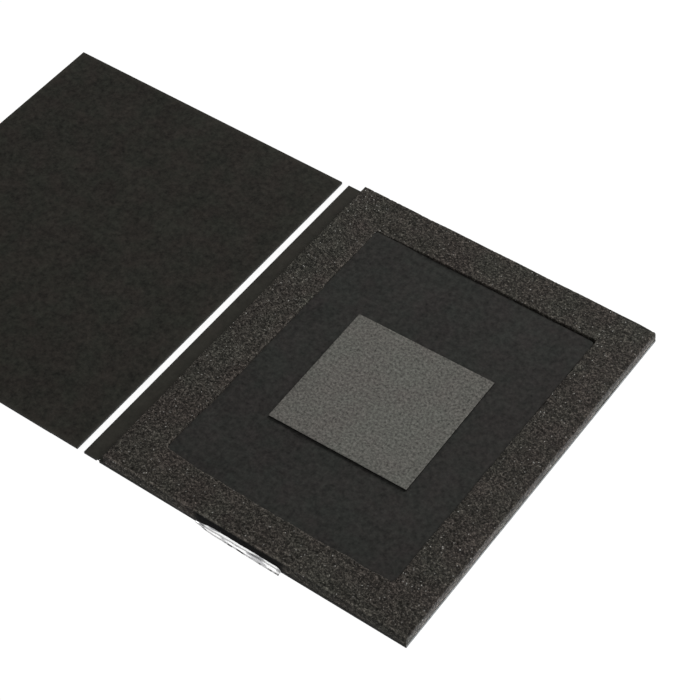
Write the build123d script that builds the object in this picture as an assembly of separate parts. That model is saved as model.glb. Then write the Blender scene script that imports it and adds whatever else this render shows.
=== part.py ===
from build123d import *
import os

# Folding negative carrier: a base leaf with a foam frame round a shallow bed, a narrow
# spine and a plain cover leaf, laid open and flat.  Millimetres, +Z up.
# Origin: centre of the base leaf's underside.  +X runs from the spine to the free edge,
# +Y runs along the folds, away from the edge that carries the clear tab.

# ---- driving dimensions -------------------------------------------------------------
LENGTH_Y = 152.4            # every leaf, along the folds
BASE_X = 127.0              # base leaf, from the spine fold to its free edge
SPINE_X = 6.0               # spine, from the spine fold to the gutter
GUTTER_X = 3.1              # open strip between spine and cover, bridged by clear film
COVER_X = 128.6             # cover leaf

PAPER_T = 0.15              # covering papers, liners and hinge film
CORE_T = 0.9                # black board core
LEAF_T = CORE_T + 2 * PAPER_T
ADHESIVE_T = 0.1            # double-sided adhesive sheets

FOAM_T = 3.85               # foam frame
FOAM_FOLD_INSET = 2.4       # bare board between the spine fold and the foam
FOAM_EDGE_INSET = 0.6       # bare board between the foam and the free edge
WINDOW_X, WINDOW_Y = 94.1, 123.0
WINDOW_CENTRE = (0.95, -0.6)
WINDOW_R = 1.2
BED_DEPTH = 1.0             # foam top down to the black card
BED_CLEARANCE = 0.25        # card and filler inside the foam window, each side
CARD_T = 0.4                # black card that lines the bed

PAD_X, PAD_Y, PAD_T = 56.4, 54.4, 0.7
PAD_CENTRE = (1.8, -2.45)
PAD_TURN = 1.15             # degrees, stuck down slightly askew

FOLD_KERF = 1.3             # gap between spine and base boards under the liner
NOTCH_DEPTH = 1.4           # two short slits in the liner at the near end of the fold
NOTCH_W = 0.35
FILM_TONGUE_X = 12.0        # hinge film stuck to the underside of the cover
FOLD_PLAY = 0.05            # slack between the spine's end face and the film's fold

TAB_X0, TAB_X1 = -21.1, 14.3
TAB_T = 0.15
TAB_H = 2.0                 # height of the tab on the near edge face
TAB_LIP = (0.6, 1.7)        # how far the free lip stands out, at its two ends

# ---- places worked out from them ----------------------------------------------------
FOLD_X = -BASE_X / 2                    # spine fold
SPINE_LEFT = FOLD_X - SPINE_X           # outer edge of the spine, where the film folds
COVER_RIGHT = SPINE_LEFT - GUTTER_X
COVER_LEFT = COVER_RIGHT - COVER_X
BASE_RIGHT = BASE_X / 2
HALF_Y = LENGTH_Y / 2
CORE_Z = PAPER_T
LINER_Z = PAPER_T + CORE_T
FOAM_Z = LEAF_T + ADHESIVE_T
FOAM_TOP = FOAM_Z + FOAM_T
BED_Z = FOAM_TOP - BED_DEPTH            # top of the black card
PAD_Z = BED_Z + ADHESIVE_T


def sheet(x0, x1, z0, thickness, y0=-HALF_Y, y1=HALF_Y):
    """A flat rectangular layer between two X places and two Y places."""
    return Pos((x0 + x1) / 2, (y0 + y1) / 2, z0 + thickness / 2) * Box(x1 - x0, y1 - y0, thickness)


def window_prism(z0, thickness, shrink=0.0):
    """A rounded rectangular prism in line with the foam's window."""
    outline = RectangleRounded(WINDOW_X - 2 * shrink, WINDOW_Y - 2 * shrink, WINDOW_R)
    return Pos(*WINDOW_CENTRE, z0) * extrude(outline, thickness)


def foam_outline(z0, thickness, shrink=0.0):
    """The frame-shaped layer: outer rectangle less the window."""
    outer = sheet(FOLD_X + FOAM_FOLD_INSET + shrink, BASE_RIGHT - FOAM_EDGE_INSET - shrink,
                  z0, thickness, -HALF_Y + shrink, HALF_Y - shrink)
    return outer - window_prism(z0, thickness, -shrink)


def pad_layer(z0, thickness, shrink=0.0):
    """The small square, turned a little out of true."""
    block = Box(PAD_X - 2 * shrink, PAD_Y - 2 * shrink, thickness)
    return Pos(*PAD_CENTRE, z0 + thickness / 2) * Rot(0, 0, PAD_TURN) * block


def liner_notch(x_wide):
    """A narrow wedge cut into the liner from the near edge, over one side of the kerf."""
    wedge = Polyline((x_wide - NOTCH_W / 2, -HALF_Y - 1), (x_wide + NOTCH_W / 2, -HALF_Y - 1),
                     (x_wide, -HALF_Y + NOTCH_DEPTH), close=True)
    return Pos(0, 0, LINER_Z - 1) * extrude(make_face(wedge), 3)


# ---- base leaf ----------------------------------------------------------------------
def base_leaf():
    half_kerf = FOLD_KERF / 2
    notch = liner_notch(FOLD_X + half_kerf - NOTCH_W / 2)
    return {
        "base_outer_paper": sheet(FOLD_X + half_kerf, BASE_RIGHT, 0, PAPER_T),
        "base_board": sheet(FOLD_X + half_kerf, BASE_RIGHT, CORE_Z, CORE_T),
        "base_liner": sheet(FOLD_X, BASE_RIGHT, LINER_Z, PAPER_T) - notch,
    }


def foam_and_bed():
    """Foam frame, and the stack inside its window that makes a shallow bed."""
    filler_t = BED_Z - CARD_T - ADHESIVE_T - FOAM_Z
    card_adhesive_z = FOAM_Z + filler_t
    glue_inset = 1.0
    return {
        "foam_adhesive": foam_outline(LEAF_T, ADHESIVE_T, glue_inset),
        "foam_frame": foam_outline(FOAM_Z, FOAM_T),
        "filler_adhesive": window_prism(LEAF_T, ADHESIVE_T, glue_inset),
        "filler_block": window_prism(FOAM_Z, filler_t, BED_CLEARANCE),
        "card_adhesive": window_prism(card_adhesive_z, ADHESIVE_T, glue_inset),
        "recess_card": window_prism(BED_Z - CARD_T, CARD_T, BED_CLEARANCE),
        "pad_adhesive": pad_layer(BED_Z, ADHESIVE_T, glue_inset),
        "grey_pad": pad_layer(PAD_Z, PAD_T),
    }


def closure_tab():
    """Clear film stuck to the near edge face, its lower lip turned outwards and uneven."""
    upright = sheet(TAB_X0, TAB_X1, 0, TAB_H, -HALF_Y - TAB_T, -HALF_Y)
    lip = Polyline((TAB_X0, -HALF_Y), (TAB_X1, -HALF_Y), (TAB_X1, -HALF_Y - TAB_LIP[1]),
                   (TAB_X0, -HALF_Y - TAB_LIP[0]), close=True)
    return {"closure_tab": upright + extrude(make_face(lip), TAB_T)}


# ---- spine --------------------------------------------------------------------------
def spine():
    board_right = FOLD_X - FOLD_KERF / 2
    notch = liner_notch(board_right + NOTCH_W / 2)
    return {
        "spine_hinge_film": sheet(SPINE_LEFT, board_right, 0, PAPER_T),
        "spine_board": sheet(SPINE_LEFT, board_right, CORE_Z, CORE_T),
        "spine_liner": sheet(SPINE_LEFT, FOLD_X, LINER_Z, PAPER_T) - notch,
    }


# ---- cover leaf ---------------------------------------------------------------------
def cover_leaf():
    film_left = COVER_RIGHT - FILM_TONGUE_X
    return {
        "cover_hinge_film": sheet(film_left, SPINE_LEFT - FOLD_PLAY, 0, PAPER_T),
        "cover_outer_paper": sheet(COVER_LEFT, film_left, 0, PAPER_T),
        "cover_board": sheet(COVER_LEFT, COVER_RIGHT, CORE_Z, CORE_T),
        "cover_liner": sheet(COVER_LEFT, COVER_RIGHT, LINER_Z, PAPER_T),
    }


def main():
    os.makedirs("parts", exist_ok=True)
    pieces = {**base_leaf(), **foam_and_bed(), **closure_tab(), **spine(), **cover_leaf()}
    for name, solid in pieces.items():
        export_step(solid, f"parts/{name}.step")
    print(f"{len(pieces)} pieces, foam top at {FOAM_TOP:.2f}, bed at {BED_Z:.2f}")


main()
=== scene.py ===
import math

import bmesh
import bpy
import numpy as np
from mathutils import Matrix, Vector, noise


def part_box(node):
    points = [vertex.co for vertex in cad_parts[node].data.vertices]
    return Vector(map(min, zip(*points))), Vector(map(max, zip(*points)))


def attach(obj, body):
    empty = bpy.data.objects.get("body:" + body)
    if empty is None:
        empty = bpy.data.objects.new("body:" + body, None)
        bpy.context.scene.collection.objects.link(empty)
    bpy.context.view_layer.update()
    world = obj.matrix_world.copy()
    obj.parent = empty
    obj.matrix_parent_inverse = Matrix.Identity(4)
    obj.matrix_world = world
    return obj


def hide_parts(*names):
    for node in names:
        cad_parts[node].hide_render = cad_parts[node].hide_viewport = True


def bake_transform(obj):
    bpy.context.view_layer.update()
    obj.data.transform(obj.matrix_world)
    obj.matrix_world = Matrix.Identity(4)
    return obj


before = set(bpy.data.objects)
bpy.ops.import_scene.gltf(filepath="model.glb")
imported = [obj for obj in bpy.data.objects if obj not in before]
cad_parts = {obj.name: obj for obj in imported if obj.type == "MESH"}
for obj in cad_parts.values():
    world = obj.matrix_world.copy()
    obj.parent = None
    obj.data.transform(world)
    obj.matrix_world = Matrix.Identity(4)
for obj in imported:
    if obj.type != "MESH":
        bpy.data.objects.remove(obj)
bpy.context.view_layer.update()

# A folding negative carrier laid open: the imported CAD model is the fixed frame, and this
# script gives it its surfaces, its hand-cut foam, its soft pad and its clear films.

MM = 0.001

# ---- the camera, at the photograph's viewing angle ------------------------------------
CAMERA_TARGET = Vector((-22.409, 12.074, 0.0)) * MM
CAMERA_DISTANCE = 716.586 * MM
CAMERA_LENS = 104.836
CAMERA_SENSOR = 36.0
CAMERA_AZIMUTH = math.radians(37.812)
CAMERA_ELEVATION = math.radians(50.193)
CAMERA_ROLL = math.radians(-2.356)

# ---- the light ------------------------------------------------------------------------
WORLD_LIGHT = 0.30
FLOOR_GLOW = 1.03
FLOOR_SIZE = 30.0
FLOOR_DROP = 0.02 * MM              # keeps the floor just clear of the underside
KEY_FROM = (0.30, 0.85, 0.62)
KEY_DISTANCE = 1.3
KEY_SIZE = 0.7
KEY_POWER = 15.0
FILL_FROM = (1.0, 0.1, 0.30)
FILL_DISTANCE = 1.4
FILL_SIZE = 0.7
FILL_POWER = 3.0
BOUNCE_AWAY = 2.2 * MM              # a low strip of light along the free edge
BOUNCE_HEIGHT = 0.8 * MM
BOUNCE_POWER = 0.0082
BOUNCE_COLOUR = (0.90, 0.95, 1.0)
SIDE_FROM = (-0.6, -0.9, 0.5)
SIDE_DISTANCE = 1.2
SIDE_SIZE = 0.6
SIDE_POWER = 1.6


def place(name, data):
    """A new object in the scene."""
    made = bpy.data.objects.new(name, data)
    bpy.context.scene.collection.objects.link(made)
    return made


def place_camera():
    """A camera that looks down at the open carrier, turned a little about its own axis."""
    azimuth, elevation = CAMERA_AZIMUTH, CAMERA_ELEVATION
    back = Vector((math.sin(azimuth) * math.cos(elevation),
                   -math.cos(azimuth) * math.cos(elevation),
                   math.sin(elevation)))
    level = Vector((math.cos(azimuth), math.sin(azimuth), 0.0))
    upright = back.cross(level)
    right = math.cos(CAMERA_ROLL) * level + math.sin(CAMERA_ROLL) * upright
    up = math.cos(CAMERA_ROLL) * upright - math.sin(CAMERA_ROLL) * level
    data = bpy.data.cameras.new("camera")
    data.lens = CAMERA_LENS
    data.sensor_width = CAMERA_SENSOR
    data.clip_start = 0.01
    camera = place("camera", data)
    turn = Matrix((right, up, back)).transposed().to_4x4()
    camera.matrix_world = Matrix.Translation(CAMERA_TARGET + back * CAMERA_DISTANCE) @ turn
    bpy.context.scene.camera = camera


def soft_light(name, towards, distance, size, power):
    """A square soft light in the given direction from the origin, aimed at it."""
    data = bpy.data.lights.new(name, "AREA")
    data.size = size
    data.energy = power
    light = place(name, data)
    direction = Vector(towards).normalized()
    light.location = direction * distance
    light.rotation_euler = direction.to_track_quat("Z", "Y").to_euler()


def place_world():
    """Even grey light from all round, and colours shown as they are."""
    world = bpy.data.worlds.new("studio")
    world.use_nodes = True
    background = world.node_tree.nodes["Background"]
    background.inputs["Color"].default_value = (1.0, 1.0, 1.0, 1.0)
    background.inputs["Strength"].default_value = WORLD_LIGHT
    scene = bpy.context.scene
    scene.world = world
    scene.view_settings.view_transform = "Standard"


def place_floor():
    """A glowing white sweep, so that the object stands free on white."""
    half = FLOOR_SIZE / 2
    low = -FLOOR_DROP
    corners = [(-half, -half, low), (half, -half, low), (half, half, low), (-half, half, low)]
    mesh = bpy.data.meshes.new("floor")
    mesh.from_pydata(corners, [], [(0, 1, 2, 3)])
    floor = place("floor", mesh)
    mesh.materials.append(glowing("floor_white", FLOOR_GLOW))


def place_edge_light():
    """A low strip beside the free edge: light thrown back by the table, fading upwards."""
    low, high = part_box("base_board")
    data = bpy.data.lights.new("edge_light", "AREA")
    data.shape = "RECTANGLE"
    data.size = high.y - low.y
    data.size_y = BOUNCE_HEIGHT
    data.energy = BOUNCE_POWER
    data.color = BOUNCE_COLOUR
    light = place("edge_light", data)
    towards = Vector((1.0, 0.0, 0.0))
    light.location = (high.x + BOUNCE_AWAY, (low.y + high.y) / 2, BOUNCE_HEIGHT / 2)
    light.rotation_euler = towards.to_track_quat("Z", "Y").to_euler()


def glowing(name, strength):
    """An even white glow."""
    material, shader = make_material(name, 1.0, 0.0)
    shader.inputs["Base Color"].default_value = (0.0, 0.0, 0.0, 1.0)
    shader.inputs["Emission Color"].default_value = (1.0, 1.0, 1.0, 1.0)
    shader.inputs["Emission Strength"].default_value = strength
    return material


# ---- node helpers ---------------------------------------------------------------------
def make_material(name, roughness, specular):
    """A material and its Principled shader."""
    material = bpy.data.materials.new(name)
    material.use_nodes = True
    shader = material.node_tree.nodes["Principled BSDF"]
    shader.inputs["Roughness"].default_value = roughness
    shader.inputs["Specular IOR Level"].default_value = specular
    return material, shader


def add(material, kind, inputs, **settings):
    """A new node with its settings; a socket given as an input's value is linked to it."""
    made = material.node_tree.nodes.new(kind)
    for key, value in settings.items():
        setattr(made, key, value)
    for key, value in inputs.items():
        if isinstance(value, bpy.types.NodeSocket):
            material.node_tree.links.new(value, made.inputs[key])
        else:
            made.inputs[key].default_value = value
    return made


def join(material, source, target):
    """Links an output socket to an input socket."""
    material.node_tree.links.new(source, target)


def place_of(material, stretch=(1.0, 1.0, 1.0)):
    """Where a surface point lies in the object's own frame, stretched along its axes."""
    point = add(material, "ShaderNodeTexCoord", {}).outputs["Object"]
    if stretch == (1.0, 1.0, 1.0):
        return point
    return add(material, "ShaderNodeMapping", {"Vector": point, "Scale": stretch}).outputs["Vector"]


def grain(material, point, size, detail=2.0, rough=0.5):
    """Noise whose features are about the given size, from 0 to 1."""
    inputs = {"Vector": point, "Scale": 1.0 / size, "Detail": detail, "Roughness": rough}
    return add(material, "ShaderNodeTexNoise", inputs).outputs["Fac"]


def remap(material, value, low, high, to_low, to_high, kind="LINEAR"):
    """The value moved from one range to another and held inside it."""
    inputs = {"Value": value, "From Min": low, "From Max": high,
              "To Min": to_low, "To Max": to_high}
    made = add(material, "ShaderNodeMapRange", inputs, interpolation_type=kind)
    return made.outputs["Result"]


def maths(material, kind, first, second=0.0):
    """The result of one sum on two values or sockets."""
    return add(material, "ShaderNodeMath", {0: first, 1: second}, operation=kind).outputs[0]


def blend_colours(material, factor, first, second):
    """From the first colour at factor 0 to the second at 1."""
    made = add(material, "ShaderNodeMix", {0: factor, 6: first, 7: second}, data_type="RGBA")
    return made.outputs[2]


def multiplied(material, surface, tint):
    """One colour times another."""
    made = add(material, "ShaderNodeMix", {0: 1.0, 6: surface, 7: tint},
               data_type="RGBA", blend_type="MULTIPLY")
    return made.outputs[2]


def raise_surface(material, shader, height, distance, strength=1.0):
    """Fine relief that is too small for the mesh."""
    inputs = {"Height": height, "Distance": distance, "Strength": strength}
    bump = add(material, "ShaderNodeBump", inputs)
    join(material, bump.outputs["Normal"], shader.inputs["Normal"])


def colour(red, green, blue):
    """An opaque colour."""
    return (red, green, blue, 1.0)


def tone(base, factor):
    """The colour made lighter or darker."""
    return colour(base[0] * factor, base[1] * factor, base[2] * factor)


# ---- materials ------------------------------------------------------------------------
PAPER_BLACK = colour(0.0205, 0.0194, 0.0158)
CARD_BLACK = colour(0.0226, 0.0221, 0.0202)
BOARD_BLACK = colour(0.040, 0.039, 0.037)
FOAM_BLACK = colour(0.0300, 0.0273, 0.0234)
PAD_GREY = colour(0.113, 0.110, 0.099)
FOAM_RANGE = 6.0                    # the lightest foam cell against the foam's own colour
PAINTED_GLINT = colour(0.50, 0.49, 0.46)    # painted glint: a cell wall coloured light, as if it caught the light
ABOVE_TAB_BLACK = colour(0.0015, 0.0015, 0.0015)   # the near-black of the foam wall above the tab
SIDE_LIT_PAPER = colour(2.4, 2.5, 2.6)  # painted light: tints that lighten the faces at either end of X
SIDE_LIT_BOARD = colour(1.50, 1.57, 1.68)
PLAIN_FACES_PAPER = colour(1.0, 1.0, 1.0)     # tints of all other faces; the board's darkens them as painted shade
SHADED_BOARD = colour(0.36, 0.36, 0.36)
RUBBED_WIDTH = 2.0 * MM             # how far in from its outline a paper is rubbed
RUBBED_GAIN = 1.9                   # and how much lighter it is there


def mottled(material, point, base, layers, limit=0.9):
    """The base colour made lighter and darker by noises, given as (size, gain, detail)."""
    total = None
    for size, gain, detail in layers:
        noise_value = grain(material, point, size, detail, 0.55)
        part = maths(material, "MULTIPLY", maths(material, "SUBTRACT", noise_value, 0.5), gain)
        total = part if total is None else maths(material, "ADD", total, part)
    shade = remap(material, total, -limit, limit, 0.0, 1.0)
    return blend_colours(material, shade, tone(base, 1 - limit), tone(base, 1 + limit))


def tinted(material, point, surface, size, strength):
    """A faint drift of the colour between warm and cool, as in dyed black stock."""
    drift = remap(material, grain(material, point, size, 2.0, 0.5), 0.35, 0.65, 0.0, 1.0)
    warm = colour(1 + strength, 1 - 0.5 * strength, 1 - 0.2 * strength)
    cool = colour(1 - strength, 1 + 0.3 * strength, 1 - 0.3 * strength)
    return multiplied(material, surface, blend_colours(material, drift, warm, cool))


def painted_side_light(material, surface, elsewhere, side_lit):
    """Painted light and shade: the colour times one tint on the faces at either end of X, and
    another on the rest.
    """
    normal = add(material, "ShaderNodeTexCoord", {}).outputs["Normal"]
    facing = add(material, "ShaderNodeSeparateXYZ", {"Vector": normal}).outputs["X"]
    share = remap(material, maths(material, "ABSOLUTE", facing), 0.3, 0.7, 0.0, 1.0)
    return multiplied(material, surface, blend_colours(material, share, elsewhere, side_lit))


def edge_nearness(material, node, reach):
    """1 at the outline of a flat node, falling to 0 at the given reach inside it."""
    low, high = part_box(node)
    point = place_of(material)
    axes = add(material, "ShaderNodeSeparateXYZ", {"Vector": point})
    gaps = []
    for axis, start, end in (("X", low.x, high.x), ("Y", low.y, high.y)):
        from_middle = maths(material, "ABSOLUTE", maths(material, "SUBTRACT", axes.outputs[axis],
                                                        (start + end) / 2))
        gaps.append(maths(material, "SUBTRACT", (end - start) / 2, from_middle))
    nearest = maths(material, "MINIMUM", gaps[0], gaps[1])
    return remap(material, nearest, 0.0, reach, 1.0, 0.0)


def paper_material(name, base, node, specular=0.12, wear=0.35):
    """Matt black paper: mottling, short fibres, and a rubbed lighter line at its edges; its faces
    at either end of X are made lighter as painted light.
    """
    material, shader = make_material(name, 0.7, specular)
    point = place_of(material)
    surface = mottled(material, point, base, ((1.9 * MM, 1.7, 2.0), (0.8 * MM, 1.1, 2.0),
                                              (16 * MM, 0.5, 3.0)))
    surface = tinted(material, point, surface, 9 * MM, 0.05)
    patches = grain(material, point, 5 * MM, 3.0, 0.6)
    rubbed = maths(material, "MULTIPLY", edge_nearness(material, node, RUBBED_WIDTH),
                   remap(material, patches, 0.3, 0.7, 0.3, wear * 2))
    surface = blend_colours(material, rubbed, surface, tone(base, RUBBED_GAIN))
    surface = painted_side_light(material, surface, PLAIN_FACES_PAPER, SIDE_LIT_PAPER)
    join(material, surface, shader.inputs["Base Color"])
    fibres = grain(material, place_of(material, (1.0, 0.35, 1.0)), 0.9 * MM, 3.0, 0.7)
    join(material, remap(material, fibres, 0.3, 0.7, 0.60, 0.82), shader.inputs["Roughness"])
    raise_surface(material, shader, fibres, 0.05 * MM, 0.7)
    return material


def board_material():
    """Cut edges of black board: pressed layers and loose fibres, with painted light on the faces at
    either end of X and painted shade on the rest.
    """
    material, shader = make_material("black_board", 0.7, 0.1)
    layers = grain(material, place_of(material, (0.08, 0.08, 1.0)), 0.22 * MM, 2.0, 0.6)
    point = place_of(material)
    surface = mottled(material, point, BOARD_BLACK, ((0.9 * MM, 1.4, 3.0), (6 * MM, 0.8, 2.0)))
    surface = blend_colours(material, remap(material, layers, 0.42, 0.62, 0.0, 0.4), surface,
                            tone(BOARD_BLACK, 0.5))
    surface = painted_side_light(material, surface, SHADED_BOARD, SIDE_LIT_BOARD)
    join(material, surface, shader.inputs["Base Color"])
    raise_surface(material, shader, layers, 0.06 * MM, 0.8)
    return material


def foam_material():
    """Open-celled black foam: cells of very uneven brightness, pores painted darker as shade, and a
    few painted glints.
    """
    material, shader = make_material("black_foam", 0.65, 0.08)
    point = place_of(material)
    warp = add(material, "ShaderNodeTexNoise", {"Vector": point, "Scale": 1 / (1.3 * MM)})
    shift = add(material, "ShaderNodeVectorMath", {0: warp.outputs["Color"], "Scale": 0.5 * MM},
                operation="SCALE").outputs["Vector"]
    bent = add(material, "ShaderNodeVectorMath", {0: point, 1: shift}).outputs["Vector"]
    cells = add(material, "ShaderNodeTexVoronoi", {"Vector": bent, "Scale": 1 / (0.55 * MM)})
    chance = add(material, "ShaderNodeSeparateColor", {"Color": cells.outputs["Color"]})
    small = add(material, "ShaderNodeTexVoronoi", {"Vector": bent, "Scale": 1 / (0.34 * MM)})
    small_chance = add(material, "ShaderNodeSeparateColor", {"Color": small.outputs["Color"]})
    pore = add(material, "ShaderNodeAttribute", {}, attribute_name="pore").outputs["Fac"]
    # the painted highlight and shade of the cut rims
    painted_rim = add(material, "ShaderNodeAttribute", {}, attribute_name="rim_light_and_shade").outputs["Fac"]
    above_tab = add(material, "ShaderNodeAttribute", {}, attribute_name="near_black_above_tab").outputs["Fac"]
    # the pores are painted darker by their depth, as shade inside the open cells
    terms = ((chance.outputs["Red"], 0.5, 1.6), (small_chance.outputs["Red"], 0.5, 1.3),
             (grain(material, point, 0.8 * MM, 2.0, 0.6), 0.5, 2.0),
             (grain(material, point, 13 * MM, 2.0, 0.5), 0.5, 0.5),
             (pore, 0.4, -0.7), (painted_rim, 0.0, 0.6))
    bright = None
    for value, middle, gain in terms:
        part = maths(material, "MULTIPLY", maths(material, "SUBTRACT", value, middle), gain)
        bright = part if bright is None else maths(material, "ADD", bright, part)
    shade = maths(material, "MULTIPLY", maths(material, "EXPONENT", bright), 1 / FOAM_RANGE)
    surface = blend_colours(material, shade, colour(0.001, 0.001, 0.001),
                            tone(FOAM_BLACK, FOAM_RANGE))
    surface = tinted(material, point, surface, 14 * MM, 0.04)
    # painted glint: a few cells are coloured light, and their roughness is lowered
    shiny = maths(material, "POWER",
                  remap(material, chance.outputs["Green"], 0.955, 1.0, 0.0, 1.0), 1.6)
    centre = remap(material, cells.outputs["Distance"], 0.2, 0.5, 1.0, 0.0)
    spark = maths(material, "MULTIPLY", shiny, centre)
    surface = blend_colours(material, spark, surface, PAINTED_GLINT)
    # the foam wall above the tab is coloured near-black
    surface = blend_colours(material, above_tab, surface, ABOVE_TAB_BLACK)
    join(material, surface, shader.inputs["Base Color"])
    join(material, remap(material, spark, 0.0, 1.0, 0.68, 0.35), shader.inputs["Roughness"])
    raise_surface(material, shader, shade, 0.5 * MM, 0.8)
    return material


def pad_material():
    """Grey felt-faced pad: short tangled fibres."""
    material, shader = make_material("grey_felt", 0.85, 0.2)
    point = place_of(material)
    surface = mottled(material, point, PAD_GREY, ((1.0 * MM, 2.3, 2.0), (0.55 * MM, 1.4, 2.0),
                                                  (9 * MM, 0.25, 2.0)))
    surface = tinted(material, point, surface, 12 * MM, 0.02)
    join(material, surface, shader.inputs["Base Color"])
    fibres = grain(material, point, 0.7 * MM, 3.0, 0.7)
    raise_surface(material, shader, fibres, 0.06 * MM, 0.7)
    return material


def pad_edge_material():
    """The pad's cut edges are coloured near-black as painted shade along its sides."""
    material, shader = make_material("pad_edge_painted_shade", 0.9, 0.1)
    threads = grain(material, place_of(material, (1.0, 1.0, 0.3)), 0.4 * MM, 3.0, 0.7)
    surface = blend_colours(material, threads, colour(0.004, 0.004, 0.004),
                            colour(0.016, 0.016, 0.015))
    join(material, surface, shader.inputs["Base Color"])
    return material


def film_material(name, clear, haze):
    """Clear plastic film: nearly invisible but for its gloss and a few faint streaks."""
    material, shader = make_material(name, 0.12, 0.5)
    streaks = grain(material, place_of(material, (0.6, 0.05, 1.0)), 0.8 * MM, 3.0, 0.6)
    shader.inputs["Base Color"].default_value = colour(0.86, 0.87, 0.86)
    join(material, remap(material, streaks, 0.35, 0.75, clear, haze), shader.inputs["Alpha"])
    join(material, remap(material, streaks, 0.3, 0.7, 0.08, 0.22), shader.inputs["Roughness"])
    return material


def tab_material():
    """The tab's film is glossy and mirrors the table; its white and the grey streaks along it are
    painted reflection.
    """
    material, shader = make_material("tab_film_painted_reflection", 0.16, 0.6)
    shader.inputs["Metallic"].default_value = 0.8
    along = place_of(material, (0.16, 1.0, 0.7))
    streaks = grain(material, along, 1.2 * MM, 1.0, 0.4)
    shade = remap(material, streaks, 0.54, 0.64, 0.0, 1.0, "SMOOTHSTEP")
    # painted reflection: the clear film is coloured white, with grey streaks
    surface = blend_colours(material, shade, colour(0.97, 0.97, 0.97), colour(0.34, 0.34, 0.35))
    join(material, surface, shader.inputs["Base Color"])
    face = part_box("closure_tab")[1].y
    depth = add(material, "ShaderNodeSeparateXYZ", {"Vector": place_of(material)}).outputs["Y"]
    stand_off = maths(material, "SUBTRACT", face, depth)
    clear = remap(material, stand_off, 0.45 * MM, 0.9 * MM, 0.0, 1.0)
    clear = maths(material, "MULTIPLY", clear, remap(material, shade, 0.0, 1.0, 0.9, 0.45))
    join(material, maths(material, "SUBTRACT", 1.0, clear), shader.inputs["Alpha"])
    return material


def tab_edge_material():
    """The film's cut edge, with painted reflection: dark in short stretches, and white between
    them.
    """
    material, shader = make_material("film_edge_painted_reflection", 0.3, 0.5)
    breaks = grain(material, place_of(material, (1.0, 0.1, 0.1)), 3.5 * MM, 2.0, 0.6)
    surface = blend_colours(material, remap(material, breaks, 0.42, 0.52, 0.0, 1.0),
                            colour(0.015, 0.015, 0.015), colour(0.90, 0.90, 0.90))
    join(material, surface, shader.inputs["Base Color"])
    return material


def adhesive_material():
    """Yellowish double-sided adhesive sheet with small trapped bubbles."""
    material, shader = make_material("adhesive_sheet", 0.35, 0.5)
    bubbles = add(material, "ShaderNodeTexVoronoi",
                  {"Vector": place_of(material), "Scale": 1 / (2.2 * MM)}).outputs["Distance"]
    shade = remap(material, bubbles, 0.1, 0.5, 0.0, 1.0)
    join(material, blend_colours(material, shade, colour(0.62, 0.58, 0.46),
                                 colour(0.50, 0.46, 0.36)), shader.inputs["Base Color"])
    return material


# ---- mesh helpers ---------------------------------------------------------------------
def new_piece(name, points, faces, smooth=True):
    """An object from points in metres and faces as lists of point numbers."""
    mesh = bpy.data.meshes.new(name)
    mesh.from_pydata([tuple(p) for p in points], [], faces)
    mesh.update()
    if smooth:
        mesh.shade_smooth()
    return place(name, mesh)


def grid_faces(columns, rows):
    """The four-sided faces of a grid of points, row by row."""
    corners = [j * columns + i for j in range(rows - 1) for i in range(columns - 1)]
    return [[n, n + 1, n + columns + 1, n + columns] for n in corners]


def grid_rim(columns, rows):
    """The outer points of a grid, in order round it."""
    return ([i for i in range(columns)]
            + [j * columns + columns - 1 for j in range(1, rows)]
            + [(rows - 1) * columns + i for i in range(columns - 2, -1, -1)]
            + [j * columns for j in range(rows - 2, 0, -1)])


def rim_walls(rim, layer):
    """Faces round a sheet's rim, from one layer of points to the other."""
    return [[here, after, after + layer, here + layer]
            for here, after in zip(rim, rim[1:] + rim[:1])]


def smooth_step(low, high, value):
    """0 at low and 1 at high, with an even ease between them."""
    t = np.clip((value - low) / (high - low), 0.0, 1.0)
    return t * t * (3 - 2 * t)


# ---- foam frame -----------------------------------------------------------------------
FOAM_STEP = 0.33 * MM
WINDOW_CLEARANCE = 0.25 * MM        # the bed card is this much smaller, each side
CELL = 0.95 * MM                    # size of the foam's cells in the mesh
PORE_DEPTH = 0.20 * MM
CORNER_ROUND = (1.2 * MM, 1.8 * MM, 0.3 * MM, 1.0 * MM)   # window corners, near left first
CUT_SHIFT = ((0.15 * MM, 0.1 * MM), (0.5 * MM, 0.1 * MM),  # outer corners off the CAD's, in the
             (0.45 * MM, 0.0), (-0.65 * MM, 0.0))          # same order
CUT_DRIFT = 0.3 * MM                # how far the blade strays along an outer cut
FOAM_RIM = ((0.04 * MM, 0.94), (0.16 * MM, 0.985))         # rounded rim: (inset, share of height)
FOAM_RIM_END = 0.4 * MM             # where the rim has become the flat top
NEAR_SHIFT = 0.9 * MM               # the window's near cut: place, bow, and rise at the fold side
NEAR_BOW = 0.7 * MM
NEAR_RISE = 0.6 * MM
FAR_SHIFT = 0.15 * MM               # its far cut: place and slant
FAR_SLANT = 0.3 * MM
FOLD_SHIFT = 0.75 * MM              # its cut on the fold side: place and step
FOLD_STEP = 0.45 * MM
FREE_SLANT = 0.15 * MM              # its cut on the free side
NEAR_CRUSH = 0.30 * MM              # how far the blade pressed the outer rims down
FREE_CRUSH = 0.45 * MM
LEAN_IN = 0.7 * MM                  # how far the near wall leans in at its top
FAR_SINK = 0.28 * MM                # how low the window's rim is, on the far side
CORNER_SINK = 0.50 * MM             # and round its far corner at the fold
SWELL = 0.06 * MM                   # slow unevenness of the whole surface
PORE_LIFT = 0.05 * MM               # cell walls stand this much proud
DARK_DEPTH = (0.8 * MM, 1.1 * MM)    # the near-black above the tab fades out between these depths
DARK_BELOW = (0.4 * MM, 1.1 * MM)    # and between these heights below the foam's top
DARK_FADE = (-2.5 * MM, 1.5 * MM)    # and over this stretch at either end of the tab


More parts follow.
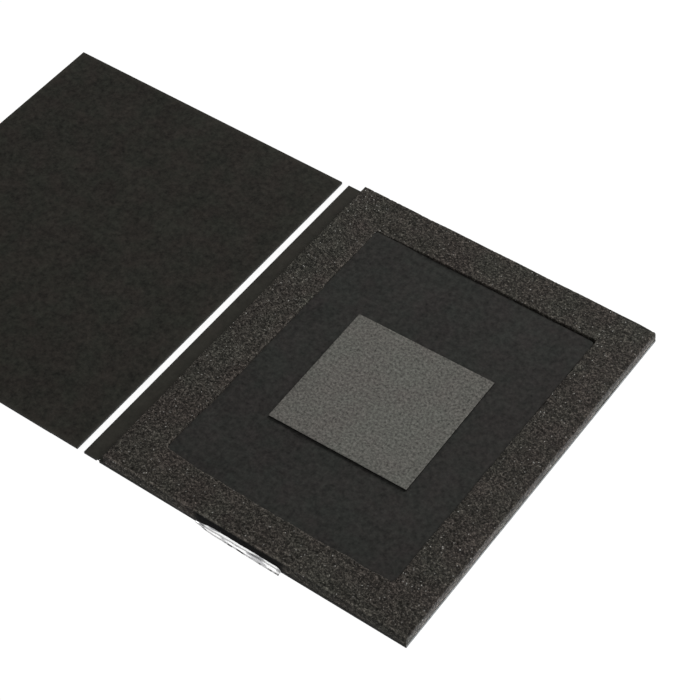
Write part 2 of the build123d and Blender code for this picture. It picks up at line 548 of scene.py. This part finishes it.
def window_box():
    """The foam window's lowest and highest corners, from the card that fits it."""
    low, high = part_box("recess_card")
    grow = Vector((WINDOW_CLEARANCE, WINDOW_CLEARANCE, 0.0))
    return low - grow, high + grow


def wander(position, seed, amount, length=22 * MM):
    """The slow drift of a blade along a cut."""
    return np.array([amount * noise.noise(Vector((p / length, seed, 0.0))) for p in position])


def towards_next(corners, side, count):
    """Evenly spaced points from one corner up to the next, and the way between them."""
    start, way = corners[side], corners[(side + 1) % len(corners)] - corners[side]
    return start + way * (np.arange(count)[:, None] / count), way


def outer_loop(counts):
    """The foam's outer outline: four nearly straight hand cuts."""
    low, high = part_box("foam_frame")
    square = ((low.x, low.y), (high.x, low.y), (high.x, high.y), (low.x, high.y))
    corners = [np.array(corner) + shift for corner, shift in zip(square, CUT_SHIFT)]
    loop = []
    for side, count in enumerate(counts):
        line, way = towards_next(corners, side, count)
        length = np.linalg.norm(way)
        inward = np.array([-way[1], way[0]]) / length
        share = np.arange(count) / count
        drift = wander(share * length, 3.1 + side, CUT_DRIFT) * np.sin(math.pi * share)
        loop.append(line + inward * drift[:, None])
    return np.concatenate(loop)


def round_corner(points, corner, centre_of_window, radius):
    """Points nearer the corner than radius, both ways, move on to an arc."""
    centre = corner + np.sign(centre_of_window - corner) * radius
    beyond = (points - centre) * np.sign(corner - centre_of_window)
    near = (beyond > 0).all(axis=1)
    away = points[near] - centre
    points[near] = centre + away / np.linalg.norm(away, axis=1)[:, None] * radius
    return points


def inner_loop(counts):
    """The window's outline: it bows at the near cut and steps on the fold side."""
    low, high = window_box()
    x0, x1, y0, y1 = low.x, high.x, low.y, high.y
    corners = [np.array(c) for c in ((x0, y0), (x1, y0), (x1, y1), (x0, y1))]
    middle = (corners[0] + corners[2]) / 2
    loop = [towards_next(corners, side, count)[0] for side, count in enumerate(counts)]
    loop = np.concatenate(loop)
    for corner, radius in zip(corners, CORNER_ROUND):
        loop = round_corner(loop, corner, middle, radius)
    return loop + window_drift(loop, middle, (x1 - x0) / 2, (y1 - y0) / 2)


def window_drift(loop, middle, half_x, half_y):
    """How far each point of the window's cut strays, in both directions."""
    across = (loop[:, 0] - middle[0]) / half_x
    along = (loop[:, 1] - middle[1]) / half_y
    drift = np.zeros_like(loop)
    near_side = smooth_step(0.90, 0.99, -along)
    far_side = smooth_step(0.90, 0.99, along)
    fold_side = smooth_step(0.90, 0.99, -across)
    free_side = smooth_step(0.90, 0.99, across)
    bow = NEAR_BOW * np.cos(across * math.pi / 2)
    near_cut = NEAR_SHIFT - bow + NEAR_RISE * smooth_step(-0.7, -1.0, across)
    drift[:, 1] += near_side * (near_cut + wander(loop[:, 0], 11.3, 0.5 * MM, 9 * MM))
    far_cut = FAR_SHIFT + FAR_SLANT * across
    drift[:, 1] += far_side * (far_cut + wander(loop[:, 0], 17.9, 0.12 * MM, 15 * MM))
    step = FOLD_STEP * smooth_step(0.52, 0.72, -along)
    fold_cut = FOLD_SHIFT - step + wander(loop[:, 1], 23.7, 0.25 * MM, 14 * MM)
    drift[:, 0] += fold_side * fold_cut
    free_cut = FREE_SLANT * along + wander(loop[:, 1], 31.1, 0.3 * MM, 16 * MM)
    drift[:, 0] += free_side * free_cut
    return drift


def foam_section(width):
    """One lap across the frame: (share of the width, share of the height).
    It climbs the outer wall, crosses the top, goes down the window wall and back below."""
    outer = [(0.0, rise) for rise in np.linspace(0.0, 0.86, 9)]
    outer_rim = [(inset / width, rise) for inset, rise in FOAM_RIM]
    flat = np.linspace(FOAM_RIM_END / width, 1 - FOAM_RIM_END / width, round(width / FOAM_STEP))
    top = [(share, 1.0) for share in flat]
    inner_rim = [(1 - inset / width, rise) for inset, rise in reversed(FOAM_RIM)]
    inner = [(1.0, rise) for rise in (0.86, 0.78, 0.70, 0.35, 0.0)]
    below = [(0.75, 0.0), (0.25, 0.0)]
    return outer + outer_rim + top + inner_rim + inner + below


def foam_cells(point):
    """How deep a pore lies at the point, from 0 on a cell wall to 1 in an open cell."""
    distances, centres = noise.voronoi(Vector(point) / CELL)
    wall = distances[1] - distances[0]
    openness = 0.35 + 0.65 * noise.cell(centres[0] * 7.3)
    return openness * min(1.0, max(0.0, (wall - 0.05) / 0.45))


def foam_frame():
    """The foam as one closed sleeve round the window, with its cells in the mesh."""
    low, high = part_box("foam_frame")
    window_low, window_high = window_box()
    mean_x = ((high.x - low.x) + (window_high.x - window_low.x)) / 2
    mean_y = ((high.y - low.y) + (window_high.y - window_low.y)) / 2
    counts = [round(mean_x / FOAM_STEP), round(mean_y / FOAM_STEP)] * 2
    outer, inner = outer_loop(counts), inner_loop(counts)
    section = foam_section((high.x - low.x - window_high.x + window_low.x) / 2)
    laps, steps = len(outer), len(section)
    height = high.z - low.z
    points = np.zeros((steps, laps, 3))
    for i, (share, rise) in enumerate(section):
        points[i, :, :2] = outer + (inner - outer) * share
        points[i, :, 2] = low.z + height * rise
    # painted highlight on the cut rims, painted shade under them
    painted_rim = rim_light_and_shade(points, np.array(section), low)
    points = droop(points, np.array(section), low, high)
    faces = [[i * laps + j, i * laps + (j + 1) % laps,
              ((i + 1) % steps) * laps + (j + 1) % laps, ((i + 1) % steps) * laps + j]
             for i in range(steps) for j in range(laps)]
    piece = new_piece("soft_foam_frame", points.reshape(-1, 3), faces)
    open_cells(piece, low.z)
    write_attribute(piece.data, "rim_light_and_shade", painted_rim.ravel())
    return piece


def rim_light_and_shade(points, section, low):
    """Painted highlight and shade: 1 where a cut rim is crushed and catches the light, -1 on the
    wall tucked in under the rim, painted darker as its shade.
    """
    window_low, window_high = window_box()
    share, rise = section[:, 0][:, None], section[:, 1][:, None]
    x, y = points[:, :, 0], points[:, :, 1]
    near = smooth_step(2 * MM, 1 * MM, y - low.y)
    width = window_low.y - low.y
    outer_rim = smooth_step(1.6 * MM, 0.5 * MM, share * width) * smooth_step(0.85, 0.95, rise)
    shade_under_rim = (share < 0.5) * smooth_step(0.95, 0.86, rise) * smooth_step(0.3, 0.75, rise)
    bright = near * (1.45 * outer_rim - 0.5 * shade_under_rim)
    inner_rim = smooth_step(1.1 * MM, 0.2 * MM, (1 - share) * width)
    inner_rim = inner_rim * smooth_step(0.85, 0.95, rise) * (x < window_high.x - 2 * MM)
    return bright + 0.45 * inner_rim


def droop(points, section, low, high):
    """The blade crushes the outer rims at the near and free edges, and the window's rim sinks."""
    rise = section[:, 1][:, None]
    share = section[:, 0][:, None]
    x, y = points[:, :, 0], points[:, :, 1]
    near = smooth_step(9 * MM, 0.0, y - low.y)
    free = smooth_step(7 * MM, 0.0, high.x - x)
    crush = NEAR_CRUSH * near + FREE_CRUSH * free
    points[:, :, 2] -= crush * rise * smooth_step(0.5, 0.0, share)
    lean_in = LEAN_IN * rise ** 2 * smooth_step(0.08, 0.0, share)
    on_near = smooth_step(2 * MM, 0.0, y - low.y)
    on_free = smooth_step(2 * MM, 0.0, high.x - x)
    points[:, :, 1] += lean_in * on_near
    points[:, :, 0] -= 0.5 * lean_in * on_free
    window_low, window_high = window_box()
    from_corner = np.hypot(x - window_low.x, (y - window_high.y) * 1.3)
    at_corner = smooth_step(27 * MM, 10 * MM, from_corner)
    on_far = smooth_step(-1 * MM, 1 * MM, y - window_high.y)
    sink = FAR_SINK * on_far + CORNER_SINK * at_corner
    points[:, :, 2] -= sink * rise * smooth_step(0.45, 1.0, share)
    return points


def open_cells(piece, floor_height):
    """Moves every point of the foam in along its normal by its pore's depth."""
    mesh = piece.data
    count = len(mesh.vertices)
    points, normals = np.zeros(count * 3), np.zeros(count * 3)
    mesh.vertices.foreach_get("co", points)
    mesh.vertex_normals.foreach_get("vector", normals)
    points, normals = points.reshape(-1, 3), normals.reshape(-1, 3)
    depth = np.array([foam_cells(p) for p in points])
    swell = np.array([noise.noise(Vector(p) / (11 * MM)) for p in points])
    free = smooth_step(0.0, 0.4 * MM, points[:, 2] - floor_height)
    offset = (SWELL * swell - PORE_DEPTH * depth + PORE_LIFT) * free
    points = points + normals * offset[:, None]
    mesh.vertices.foreach_set("co", points.ravel())
    write_attribute(mesh, "pore", depth)
    write_attribute(mesh, "near_black_above_tab", near_black_above_tab(points))
    mesh.update()


def near_black_above_tab(points):
    """1 on the near wall of the foam above the tab, which is coloured near-black there."""
    low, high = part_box("closure_tab")
    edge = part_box("base_board")[0].y
    ragged = np.array([0.5 * MM * noise.noise(Vector((p[0], 0.0, 7.7 * MM)) / (3 * MM))
                       for p in points])
    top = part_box("foam_frame")[1].z
    inside = smooth_step(*DARK_FADE, points[:, 0] - low.x)
    inside = inside * smooth_step(*DARK_FADE, high.x - points[:, 0])
    on_wall = smooth_step(*reversed(DARK_DEPTH), points[:, 1] - edge + ragged)
    return inside * on_wall * smooth_step(*DARK_BELOW, top - points[:, 2])


def write_attribute(mesh, name, values):
    """A number for every point, for the material to read."""
    attribute = mesh.attributes.new(name, "FLOAT", "POINT")
    attribute.data.foreach_set("value", values.astype(np.float32))


# ---- grey pad -------------------------------------------------------------------------
PAD_TURN = math.radians(1.15)
PAD_STEP = 0.5 * MM
PAD_ROUND = 0.12 * MM
PAD_RIPPLE = 0.015 * MM
RIM_ANGLES = (0, 35, 62)            # degrees round the pad's soft top edge


def grey_pad():
    """A felt-faced square with soft top edges and a slightly uneven face."""
    low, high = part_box("grey_pad")
    middle = (low + high) / 2
    turned = Matrix.Rotation(PAD_TURN, 3, "Z")
    spread = math.cos(PAD_TURN) ** 2 - math.sin(PAD_TURN) ** 2
    box_x, box_y = high.x - low.x, high.y - low.y
    size_x = (box_x * math.cos(PAD_TURN) - box_y * math.sin(PAD_TURN)) / spread
    size_y = (box_y * math.cos(PAD_TURN) - box_x * math.sin(PAD_TURN)) / spread
    across = edge_lines(size_x)
    along = edge_lines(size_y)
    points = []
    for y in along:
        for x in across:
            edge = min(size_x / 2 - abs(x), size_y / 2 - abs(y))
            drop = PAD_ROUND - math.sqrt(max(0.0, PAD_ROUND ** 2 - max(0.0, PAD_ROUND - edge) ** 2))
            ripple = PAD_RIPPLE * noise.noise(Vector((x, y, 0)) / (0.9 * MM))
            inner = 1.0 if edge > 1e-9 else 0.0
            place = turned @ Vector((x, y, 0.0))
            points.append((middle.x + place.x, middle.y + place.y,
                           high.z - drop - PAD_RIPPLE + ripple * inner))
    columns, rows = len(across), len(along)
    faces = grid_faces(columns, rows)
    top_faces = len(faces)
    rim = grid_rim(columns, rows)
    first = len(points)
    points += [(points[n][0], points[n][1], low.z) for n in rim]
    count = len(rim)
    for k in range(count):
        after = (k + 1) % count
        faces.append([first + k, first + after, rim[after], rim[k]])
    faces.append([first + k for k in range(count - 1, -1, -1)])
    piece = new_piece("felt_pad", points, faces)
    for face in piece.data.polygons[top_faces:]:
        face.material_index = 1
        face.use_smooth = False
    return piece


def edge_lines(size):
    """Grid lines across a size: even ones inside, and close ones at the rounded rims."""
    count = round((size - 2 * PAD_ROUND) / PAD_STEP)
    inside = np.linspace(-size / 2 + PAD_ROUND, size / 2 - PAD_ROUND, count + 1)
    rim = [PAD_ROUND * (1 - math.cos(math.radians(angle))) for angle in RIM_ANGLES]
    return [-size / 2 + r for r in rim] + list(inside) + [size / 2 - r for r in reversed(rim)]


# ---- clear films ----------------------------------------------------------------------
FILM_ROWS = 60                      # points along the fold
FILM_COVER_LINES = 12               # lines across it: under the cover, over the fold, on the spine
FILM_BEND_LINES = 13
FILM_SPINE_LINES = 6


def hinge_film():
    """One clear sheet: under the spine, across the open gutter and under the cover."""
    spine_low, spine_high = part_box("spine_hinge_film")
    cover_low, cover_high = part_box("cover_hinge_film")
    fold = spine_low.x
    lines = list(np.linspace(cover_low.x, fold - 1.2 * MM, FILM_COVER_LINES))
    lines += list(np.linspace(fold - 1.1 * MM, fold + 0.1 * MM, FILM_BEND_LINES))
    lines += list(np.linspace(fold + 0.4 * MM, spine_high.x, FILM_SPINE_LINES))
    rows = np.linspace(cover_low.y, cover_high.y, FILM_ROWS)
    return slab("clear_hinge_film", lines, rows, cover_low.z, cover_high.z)


def slab(name, lines, rows, low, high):
    """A thin closed sheet with points on every line and row."""
    columns, depth = len(lines), len(rows)
    layer = columns * depth
    points = [(x, y, z) for z in (low, high) for y in rows for x in lines]
    faces = []
    for face in grid_faces(columns, depth):
        faces.append([n + layer for n in face])
        faces.append(list(reversed(face)))
    faces += rim_walls(grid_rim(columns, depth), layer)
    return new_piece(name, points, faces, smooth=False)


TAB_THICK = 0.09 * MM
LIP_FACES = 4                       # two rows of faces, front and back, make the lip's grey line of painted reflection
TAB_TAPER = 8.0 * MM                # the tab's left end is torn to a point over this length
TAB_ROUND = 1.3 * MM                # its right end is rounded over this length
TAB_COLUMNS = 110
TAB_ROWS = 14
TAB_BULGE = 0.12 * MM
LIP_REACH = 1.3 * MM                # how far the lip stands out at the left end
LIP_FLARE = 0.4 * MM                # and how much further at the right end


def closure_tab():
    """Clear film stuck to the near edge face: it stands off and flares out to a wavy lip."""
    low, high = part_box("closure_tab")
    face_y = high.y
    columns, rows = TAB_COLUMNS, TAB_ROWS
    across = np.linspace(low.x, high.x, columns)
    share = (across - low.x) / (high.x - low.x)
    torn = smooth_step(0.0, TAB_TAPER, across - low.x)
    top = (high.z - low.z) * (0.28 + 0.72 * torn)
    top = top * (1 - 0.55 * smooth_step(TAB_ROUND, 0.0, high.x - across))
    top = top * (1 + wander(across, 5.0, 0.09, 4 * MM))
    top = np.minimum(top, high.z - low.z)
    reach = LIP_REACH + LIP_FLARE * share
    reach = reach * (1 + wander(across, 9.0, 0.16, 5 * MM))
    reach = reach * (0.38 + 0.62 * torn)
    reach = np.minimum(reach, face_y - low.y - TAB_THICK)
    front, back = [], []
    for t in np.linspace(0.0, 1.0, rows):
        bulge = TAB_BULGE * math.sin(math.pi * t)
        for x, h, r in zip(across, top, reach):
            y = face_y - TAB_THICK - (r - TAB_THICK) * (0.12 * t + 0.88 * t ** 2.0) - bulge
            z = low.z + TAB_THICK + (h - TAB_THICK) * (1 - t)
            front.append((x, y, z))
            back.append((x, y + TAB_THICK, z))
    layer = columns * rows
    faces = []
    for first, second, third, fourth in grid_faces(columns, rows):
        ring = [first, fourth, third, second]
        faces.append(ring)
        faces.append([n + layer for n in reversed(ring)])
    side_faces = len(faces)
    faces += rim_walls(grid_rim(columns, rows), layer)
    piece = new_piece("clear_tab", front + back, faces)
    for face in piece.data.polygons[side_faces:]:
        face.material_index = 1
        face.use_smooth = False
    for face in piece.data.polygons[side_faces - LIP_FACES * (columns - 1):side_faces]:
        face.material_index = 1
    return piece


# ---- liner across the spine fold ------------------------------------------------------
FOLD_HALF = 0.1 * MM                # half the width of the crease
CREASE_LINES = 5                    # lines of points across the crease
WELD = 0.002 * MM                   # points nearer than this are one


def fold_liner():
    """The liner papers of the base and the spine as the one sheet that they are."""
    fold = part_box("base_liner")[0].x
    form = bmesh.new()
    for node in ("base_liner", "spine_liner"):
        form.from_mesh(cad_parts[node].data)
    bmesh.ops.remove_doubles(form, verts=form.verts, dist=WELD)
    inside = [f for f in form.faces if all(abs(v.co.x - fold) < WELD for v in f.verts)]
    bmesh.ops.delete(form, geom=inside, context="FACES_ONLY")
    bmesh.ops.dissolve_limit(form, angle_limit=0.01, verts=form.verts, edges=form.edges)
    for crease in np.linspace(-FOLD_HALF, FOLD_HALF, CREASE_LINES):
        geometry = form.verts[:] + form.edges[:] + form.faces[:]
        bmesh.ops.bisect_plane(form, geom=geometry, dist=WELD,
                               plane_co=(fold + crease, 0, 0), plane_no=(1, 0, 0))
    mesh = bpy.data.meshes.new("fold_liner")
    form.to_mesh(mesh)
    form.free()
    return place("fold_liner", mesh)


# ---- putting it together --------------------------------------------------------------
EDGE_SOFTNESS = 0.05 * MM
SOFT_EDGED = ("base_board", "spine_board", "cover_board", "cover_liner", "recess_card")


def finish_surface(piece, *materials):
    """The piece's materials; its faces keep the slots they were given."""
    polygons = piece.data.polygons
    slots = [min(face.material_index, len(materials) - 1) for face in polygons]
    piece.data.materials.clear()
    for material in materials:
        piece.data.materials.append(material)
    polygons.foreach_set("material_index", slots)


def soften(node, width):
    """A tiny bevel, as every cut edge has."""
    bevel = node.modifiers.new("soft_edges", "BEVEL")
    bevel.width = width
    bevel.segments = 2
    bevel.limit_method = "ANGLE"


def dress_cad():
    """Materials for the CAD nodes, shown or not."""
    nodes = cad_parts
    paper = paper_material("cover_paper", PAPER_BLACK, "cover_liner")
    base_paper = paper_material("base_paper", PAPER_BLACK, "base_outer_paper")
    card = paper_material("black_card", CARD_BLACK, "recess_card", 0.14, 0.0)
    board = board_material()
    foam = foam_material()
    pad = pad_material()
    glue = adhesive_material()
    film = film_material("clear_film", 0.03, 0.10)
    kinds = {
        paper: ("cover_outer_paper", "cover_liner"),
        base_paper: ("base_outer_paper", "base_liner", "spine_liner"),
        board: ("base_board", "spine_board", "cover_board"),
        card: ("recess_card",),
        foam: ("foam_frame", "filler_block"),
        pad: ("grey_pad",),
        glue: ("foam_adhesive", "filler_adhesive", "card_adhesive", "pad_adhesive"),
        film: ("spine_hinge_film", "cover_hinge_film", "closure_tab"),
    }
    for material, names in kinds.items():
        for name in names:
            finish_surface(nodes[name], material)
    for name in SOFT_EDGED:
        soften(nodes[name], EDGE_SOFTNESS)
    return base_paper, foam, pad, film


def build():
    """The new pieces, each standing for its CAD node; the foam, pad and tab go on the base body."""
    paper, foam, pad, film = dress_cad()
    frame_piece = foam_frame()
    finish_surface(frame_piece, foam)
    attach(frame_piece, "base")
    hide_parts("foam_frame")

    pad_piece = grey_pad()
    finish_surface(pad_piece, pad, pad_edge_material())
    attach(pad_piece, "base")
    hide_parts("grey_pad")

    tab = closure_tab()
    finish_surface(tab, tab_material(), tab_edge_material())
    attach(tab, "base")
    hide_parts("closure_tab")

    liner = fold_liner()
    finish_surface(liner, paper)
    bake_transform(liner)
    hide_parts("base_liner", "spine_liner")

    sheet = hinge_film()
    finish_surface(sheet, film)
    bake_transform(sheet)
    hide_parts("spine_hinge_film", "cover_hinge_film")


place_camera()
place_world()
place_floor()
place_edge_light()
soft_light("key_light", KEY_FROM, KEY_DISTANCE, KEY_SIZE, KEY_POWER)
soft_light("fill_light", FILL_FROM, FILL_DISTANCE, FILL_SIZE, FILL_POWER)
soft_light("side_light", SIDE_FROM, SIDE_DISTANCE, SIDE_SIZE, SIDE_POWER)
build()
